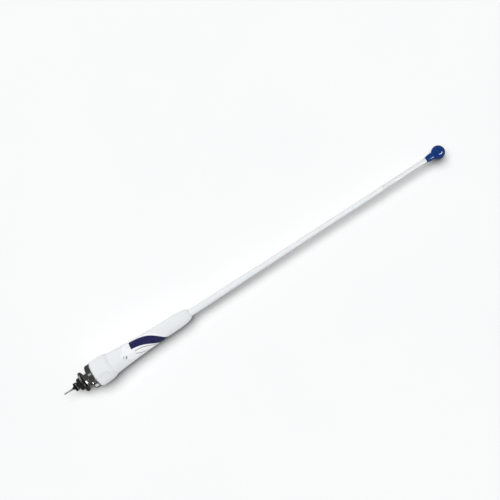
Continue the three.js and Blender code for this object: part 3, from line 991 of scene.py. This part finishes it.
def make_ferrule_cone():
    """The ferrule's upper shell: a skirt inside the grip, a waisted cone and a rounded shoulder."""
    node = "ferrule_cone"
    foot, top = ends(node)
    step = foot + SKIRT
    skirt = outer(node, foot + 2 * MM)
    side = smooth_side(node, step + 1 * MM, top, rows=90)
    whip_bore = bore(node, top - 5 * MM)
    ring_room = 0.35 * MM
    groove_foot = low("whip_o_ring") - ring_room
    groove_top = high("whip_o_ring") + ring_room
    groove = bore(node, (groove_foot + groove_top) / 2)
    cavity = bore(node, foot + 10 * MM)
    cavity_top = low("whip_tube") - 6 * MM
    corners = [
        (skirt, foot, 0.4 * MM),
        (skirt, step, CRISP),
        (outer(node, step + 0.1 * MM), step, CRISP),
        *side,
        (whip_bore, top, EASED),
        (whip_bore, groove_top, CRISP),
        (groove, groove_top, FINE),
        (groove, groove_foot, FINE),
        (whip_bore, groove_foot, CRISP),
        (whip_bore, cavity_top + 4 * MM, EASED),
        (cavity, cavity_top, SOFT),
        (cavity, foot, EASED),
    ]
    return install(turned("cone_shell", corners, columns=160), node, white_plastic)


def label_place(length, share):
    """A point of the label, in its own plane: how far along it, and what share of its height there."""
    inset = max(0.0, LABEL_CORNER - min(length, LABEL_LENGTH - length))
    rounding = LABEL_CORNER - math.sqrt(LABEL_CORNER**2 - inset**2)
    arch = 4 * LABEL_RISE * (length / LABEL_LENGTH) * (1 - length / LABEL_LENGTH)
    return length, rounding + (LABEL_SIDE + arch - 2 * rounding) * share


def sheet_faces(columns, rows):
    """The faces of a thin sheet: a grid of outer points, the same grid inside it, and the rim."""
    stride = rows + 1
    count = (columns + 1) * stride
    faces = []
    for i in range(columns):
        for k in range(rows):
            a = i * stride + k
            b, c, d = a + stride, a + stride + 1, a + 1
            faces.append([a, b, c, d])
            faces.append([count + a, count + d, count + c, count + b])
    rim = [i * stride for i in range(columns)]
    rim += [columns * stride + k for k in range(rows)]
    rim += [i * stride + rows for i in range(columns, 0, -1)]
    rim += list(range(rows, 0, -1))
    for a, b in zip(rim, rim[1:] + rim[:1]):
        faces.append([b, a, count + a, count + b])
    return faces


def make_label():
    """A thin vinyl sheet wrapped on the cone on a slant, straight along its foot, with an arched top."""
    node = "ferrule_label"
    lowest = min((v.co for v in frame["nodes"][node].data.vertices), key=lambda place: place.z)
    along, across = math.cos(LABEL_SLANT), math.sin(LABEL_SLANT)
    foot = lowest.z - LABEL_CORNER * (along + across - 1)
    corner_swing = LABEL_CORNER * (along - across)
    facing = math.atan2(lowest.y, lowest.x) + corner_swing / outer("ferrule_cone", lowest.z)
    lift = 0.05 * MM
    thickness = 0.15 * MM
    columns = 120
    rows = 48

    def on_cone(length, width, out):
        height = foot + length * along + width * across
        radius = outer("ferrule_cone", height)
        angle = facing + (length * across - width * along) / radius
        return ((radius + out) * math.cos(angle), (radius + out) * math.sin(angle), height)

    flat = [
        label_place(LABEL_LENGTH * i / columns, k / rows)
        for i in range(columns + 1)
        for k in range(rows + 1)
    ]
    outside = [on_cone(*place, lift + thickness) for place in flat]
    inside = [on_cone(*place, lift) for place in flat]
    faces = sheet_faces(columns, rows)
    piece = finish_mesh("label_sheet", outside + inside, faces, crease_degrees=50)
    layer = piece.data.uv_layers.new(name="label")
    for loop in piece.data.loops:
        length, width = flat[loop.vertex_index % len(flat)]
        layer.data[loop.index].uv = (length / LABEL_LENGTH, width / LABEL_LENGTH)
    return install(piece, node, vinyl_label())


def make_o_ring(name, node):
    middle = (low(node) + high(node)) / 2
    section = (high(node) - low(node)) / 2
    radius = (half_width(node) + bore(node, middle)) / 2
    corners = []
    for angle in np.linspace(0, 2 * math.pi, 20, endpoint=False):
        corners.append((radius + section * math.cos(angle), middle + section * math.sin(angle)))
    return install(turned(name, corners), node, rubber)


# ---- Matching network ----


def make_coil():
    """A spaced winding of bare wire, which starts on the -X side."""
    node = "matching_coil"
    foot, top = ends(node)
    wire = (top - foot - COIL_TURNS * COIL_PITCH) / 2
    radius = half_width(node) - wire
    first = foot + wire
    steps = 40  # in each turn
    path = []
    for i in range(COIL_TURNS * steps + 1):
        turn = i / steps
        angle = math.pi + 2 * math.pi * turn
        height = first + COIL_PITCH * turn
        path.append((radius * math.cos(angle), radius * math.sin(angle), height))
    return install(swept("coil_winding", path, wire), node, copper)


def paint_inside():
    """Gives the pieces that stay as the frame has them their own finishes."""
    finishes = {
        "ground_lug": brass,
        "inner_nut": steel,
        "coil_former": natural_plastic,
        "ground_wire": copper,
        "tap_wire": copper,
        "tuning_capacitor": ceramic,
        "coil_terminal": brass,
        "radiator_lead": copper,
        "splice_sleeve": tube_paint,
        "radiator": brass,
        "rod_plug": white_plastic,
    }
    finishes.update({name: foam for name in frame["nodes"] if name.startswith("foam_spacer")})
    for node, material in finishes.items():
        mesh = frame["nodes"][node].data
        mesh.materials.clear()
        mesh.materials.append(material)


# ---- Whip ----


def make_whip_tube():
    """The lower tube: straight, then tapered, then straight again, with soft changes between."""
    node = "whip_tube"
    foot, top = ends(node)
    inner = bore(node, foot + 1 * MM)
    taper = levels(node, foot + 1 * MM, top - 20 * MM)
    corners = [(inner, foot, EASED), (half_width(node), foot, 0.4 * MM)]
    corners += [(outer(node, height), height, 60 * MM) for height in taper]
    corners += [(outer(node, top - 1 * MM), top, SOFT), (inner, top, FINE)]
    piece = turned("tube_lower", corners, spacing=TUBE_SPACING)
    return install(piece, node, tube_paint)


def make_top_rod():
    node = "top_rod"
    foot, top = ends(node)
    radius = half_width(node)
    inner = bore(node, foot + 1 * MM)
    corners = [
        (inner, foot, CRISP),
        (radius, foot, 0.4 * MM),
        (radius, top, SOFT),
        (inner, top, FINE),
    ]
    piece = turned("rod_upper", corners, columns=80, spacing=TUBE_SPACING)
    return install(piece, node, rod_paint)


def make_tip_cap():
    """A push-on cap: a foot that widens into a neck, a filleted waist and a ball."""
    node = "tip_cap"
    foot, top = ends(node)
    ball = half_width(node)
    hole = bore(node, foot + 2 * MM)
    hole_top = high("top_rod") + GAP
    half_taper = foot + 5 * MM
    taper_top = foot + 10 * MM
    taper_rounding = 4 * MM
    neck = outer(node, taper_top + 0.5 * MM)
    middle = top - ball
    fillet = 3 * MM
    drop = math.sqrt((ball + fillet) ** 2 - (neck + fillet) ** 2)
    touch = math.atan2(drop, neck + fillet)  # where the fillet meets the ball, below its middle
    waist = [
        (neck + fillet - fillet * math.cos(a), middle - drop + fillet * math.sin(a))
        for a in np.linspace(0, touch, 10)
    ]
    dome = [
        (ball * math.cos(a), middle + ball * math.sin(a))
        for a in np.linspace(-touch, math.pi / 2, 48)[1:-1]
    ]
    corners = [
        (0, hole_top),
        (hole, hole_top, EASED),
        (hole, foot, CRISP),
        (outer(node, foot + HAIRLINE), foot, 0.15 * MM),
        (outer(node, half_taper), half_taper, taper_rounding),
        (neck, taper_top, taper_rounding),
        *waist,
        *dome,
        (0, top),
    ]
    return install(turned("cap_ball", corners), node, blue_plastic)


# ---- Floor, light and camera ----

antenna_length = (cad_box[1] - cad_box[0]).z
centre = Vector((0, 0, cad_box[0].z + 0.518 * antenna_length))  # of the picture, along the whip


def make_page():
    """The pale floor that the antenna lies on.

    It shows only from its front, so that the back of the antenna can be seen.
    """
    half = 4.0
    away = cad_box[1].y + 1.5 * MM
    corners = [(-half, away, -half), (half, away, -half), (half, away, half), (-half, away, half)]
    mesh = bpy.data.meshes.new("page")
    mesh.from_pydata(corners, [], [[0, 1, 2, 3]])
    page = bpy.data.objects.new("page", mesh)
    bpy.context.scene.collection.objects.link(page)
    paint = Paint("pale_floor")
    tone = paint.spread(paint.noise(0.3))
    paint.set(Base_Color=paint.mix(tone, colour(0.496, 0.499, 0.500), colour(0.490, 0.494, 0.497)))
    paint.set(Roughness=0.9, Specular_IOR_Level=0.0)
    clear = paint.node("ShaderNodeBsdfTransparent").outputs["BSDF"]
    behind = paint.node("ShaderNodeNewGeometry").outputs["Backfacing"]
    solid = paint.surface.outputs["BSDF"]
    choice = paint.node("ShaderNodeMixShader", {0: behind, 1: solid, 2: clear})
    output = paint.tree.nodes["Material Output"]
    paint.feed(output.inputs["Surface"], choice.outputs["Shader"])
    mesh.materials.append(paint.material)
    page.visible_shadow = False
    page.visible_glossy = False
    return page


def make_world():
    """Even fill light. A camera sees it as the pale surround, and a glossy surface as a dim room."""
    world = bpy.data.worlds.new("studio")
    bpy.context.scene.world = world
    world.use_nodes = True
    nodes = Nodes(world.node_tree)
    background = nodes.tree.nodes["Background"]
    background.inputs["Color"].default_value = colour(0.98, 0.99, 1.0)
    ray = nodes.node("ShaderNodeLightPath").outputs
    fill, dim, pale = 0.06, 0.12, 0.94
    inputs = {"Value": ray["Is Glossy Ray"], "To Min": fill, "To Max": dim}
    unseen = nodes.node("ShaderNodeMapRange", inputs).outputs["Result"]
    inputs = {"Value": ray["Is Camera Ray"], "To Min": unseen, "To Max": pale}
    strength = nodes.node("ShaderNodeMapRange", inputs).outputs["Result"]
    nodes.feed(background.inputs["Strength"], strength)


def around(degrees, lift=0.0, distance=2.0):
    """A place around the whip, at an angle from the camera's side towards +X.

    A lift raises it towards the tip.
    """
    angle = math.radians(degrees)
    direction = Vector((math.sin(angle), -math.cos(angle), lift)).normalized()
    return centre + direction * distance


def make_lamp(name, kind, place, strength, **settings):
    """A lamp that points at the picture's centre."""
    lamp = bpy.data.lights.new(name, kind)
    lamp.energy = strength
    for key, value in settings.items():
        setattr(lamp, key, value)
    made = bpy.data.objects.new(name, lamp)
    bpy.context.scene.collection.objects.link(made)
    made.location = place
    made.rotation_mode = "QUATERNION"
    made.rotation_quaternion = (centre - place).to_track_quat("-Z", "Y")
    return made


def make_sun(name, place, strength, spread):
    """A soft sun for the shading, which glossy surfaces don't see."""
    sun = make_lamp(name, "SUN", place, strength, angle=math.radians(spread))
    sun.visible_glossy = False
    return sun


def make_softbox(name, place, strength, width, height, shape="ELLIPSE"):
    """A softbox that only glossy surfaces see."""
    softbox = make_lamp(name, "AREA", place, strength, shape=shape, size=width, size_y=height)
    softbox.visible_diffuse = False
    return softbox


def light_only(lamps, lit, unlit):
    """Links lamps to some objects alone, or to everything but some objects."""
    group = bpy.data.collections.new(f"lit_by_{lamps[0].name}")
    for thing in lit + unlit:
        group.objects.link(thing)
    for thing, linked in zip(group.objects, group.collection_objects):
        linked.light_linking.link_state = "EXCLUDE" if thing in unlit else "INCLUDE"
    for lamp in lamps:
        lamp.light_linking.receiver_collection = group


def make_lights(page, stud, pin, ring, washer):
    """A sun for the floor alone, suns for the antenna, and softboxes for its reflections."""
    page_key = make_sun("page_key", around(-18.5, -0.07), 6.2, spread=44)
    front = make_sun("front", around(-8), 1.86, spread=40)
    left = make_sun("left", around(-65), 1.41, spread=40)
    right = make_sun("right", around(60), 1.30, spread=40)
    rear = make_sun("rear", around(180), 0.2, spread=60)
    rear.data.cycles.max_bounces = 0
    light_only([page_key], [page], [])
    light_only([front, left, right, rear], [], [page])
    make_softbox("strip_softbox", around(44, 0.7, 1.33), 12, 0.14, 1.5, shape="RECTANGLE")
    patch = make_softbox("patch_softbox", around(-29, -0.64, 1.16), 0.14, 0.34, 0.2)
    glint = make_softbox("glint_softbox", around(56, -0.83, 1.2), 1.5, 0.16, 0.26)
    side = make_softbox("side_softbox", around(103, -0.64, 1.16), 0.85, 0.75, 0.42)
    sky = make_softbox("sky_softbox", around(-64, -0.5, 1.2), 6.5, 1.9, 0.9)
    light_only([patch, glint, side], [stud, pin, ring], [])
    light_only([sky], [washer, pin, ring], [])


def make_camera():
    """Looks along +Y, square to the whip, rolled so that the whip climbs to the right."""
    climb = math.radians(32.96)
    distance = 2.0
    sensor = 36  # millimetres, as the lens is
    seen_width = 1.106 * antenna_length
    off_axis = Vector((-0.0449 * antenna_length, 0, 0))
    camera = bpy.data.cameras.new("camera")
    camera.sensor_width = sensor
    camera.lens = sensor * distance / seen_width
    camera.clip_end = 20
    made = bpy.data.objects.new("camera", camera)
    bpy.context.scene.collection.objects.link(made)
    right = Vector((math.sin(climb), 0, math.cos(climb)))
    up = Vector((-math.cos(climb), 0, math.sin(climb)))
    back = right.cross(up)
    turn = Matrix((right, up, back)).transposed().to_4x4()
    made.matrix_world = Matrix.Translation(centre + off_axis + back * distance) @ turn
    bpy.context.scene.camera = made


# ---- Scene ----

stud = make_stud()
washer = make_washer("washer_large", "clamp_washer", steel, EASED, 0.9 * MM, columns=128)
make_lock_washer()
make_clamp_nut()
make_gland_nut()
pin = make_feed_pin()
make_insulator()
ring = make_washer("washer_gland", "gland_washer", tinned, CRISP, SOFT)
make_gland_seal()
make_ferrule_grip()
make_ferrule_cone()
make_label()
make_o_ring("ring_base", "base_o_ring")
make_o_ring("ring_whip", "whip_o_ring")
make_coil()
paint_inside()
make_whip_tube()
make_top_rod()
make_tip_cap()

make_world()
make_lights(make_page(), stud, pin, ring, washer)
make_camera()
bpy.context.scene.view_settings.view_transform = "Standard"
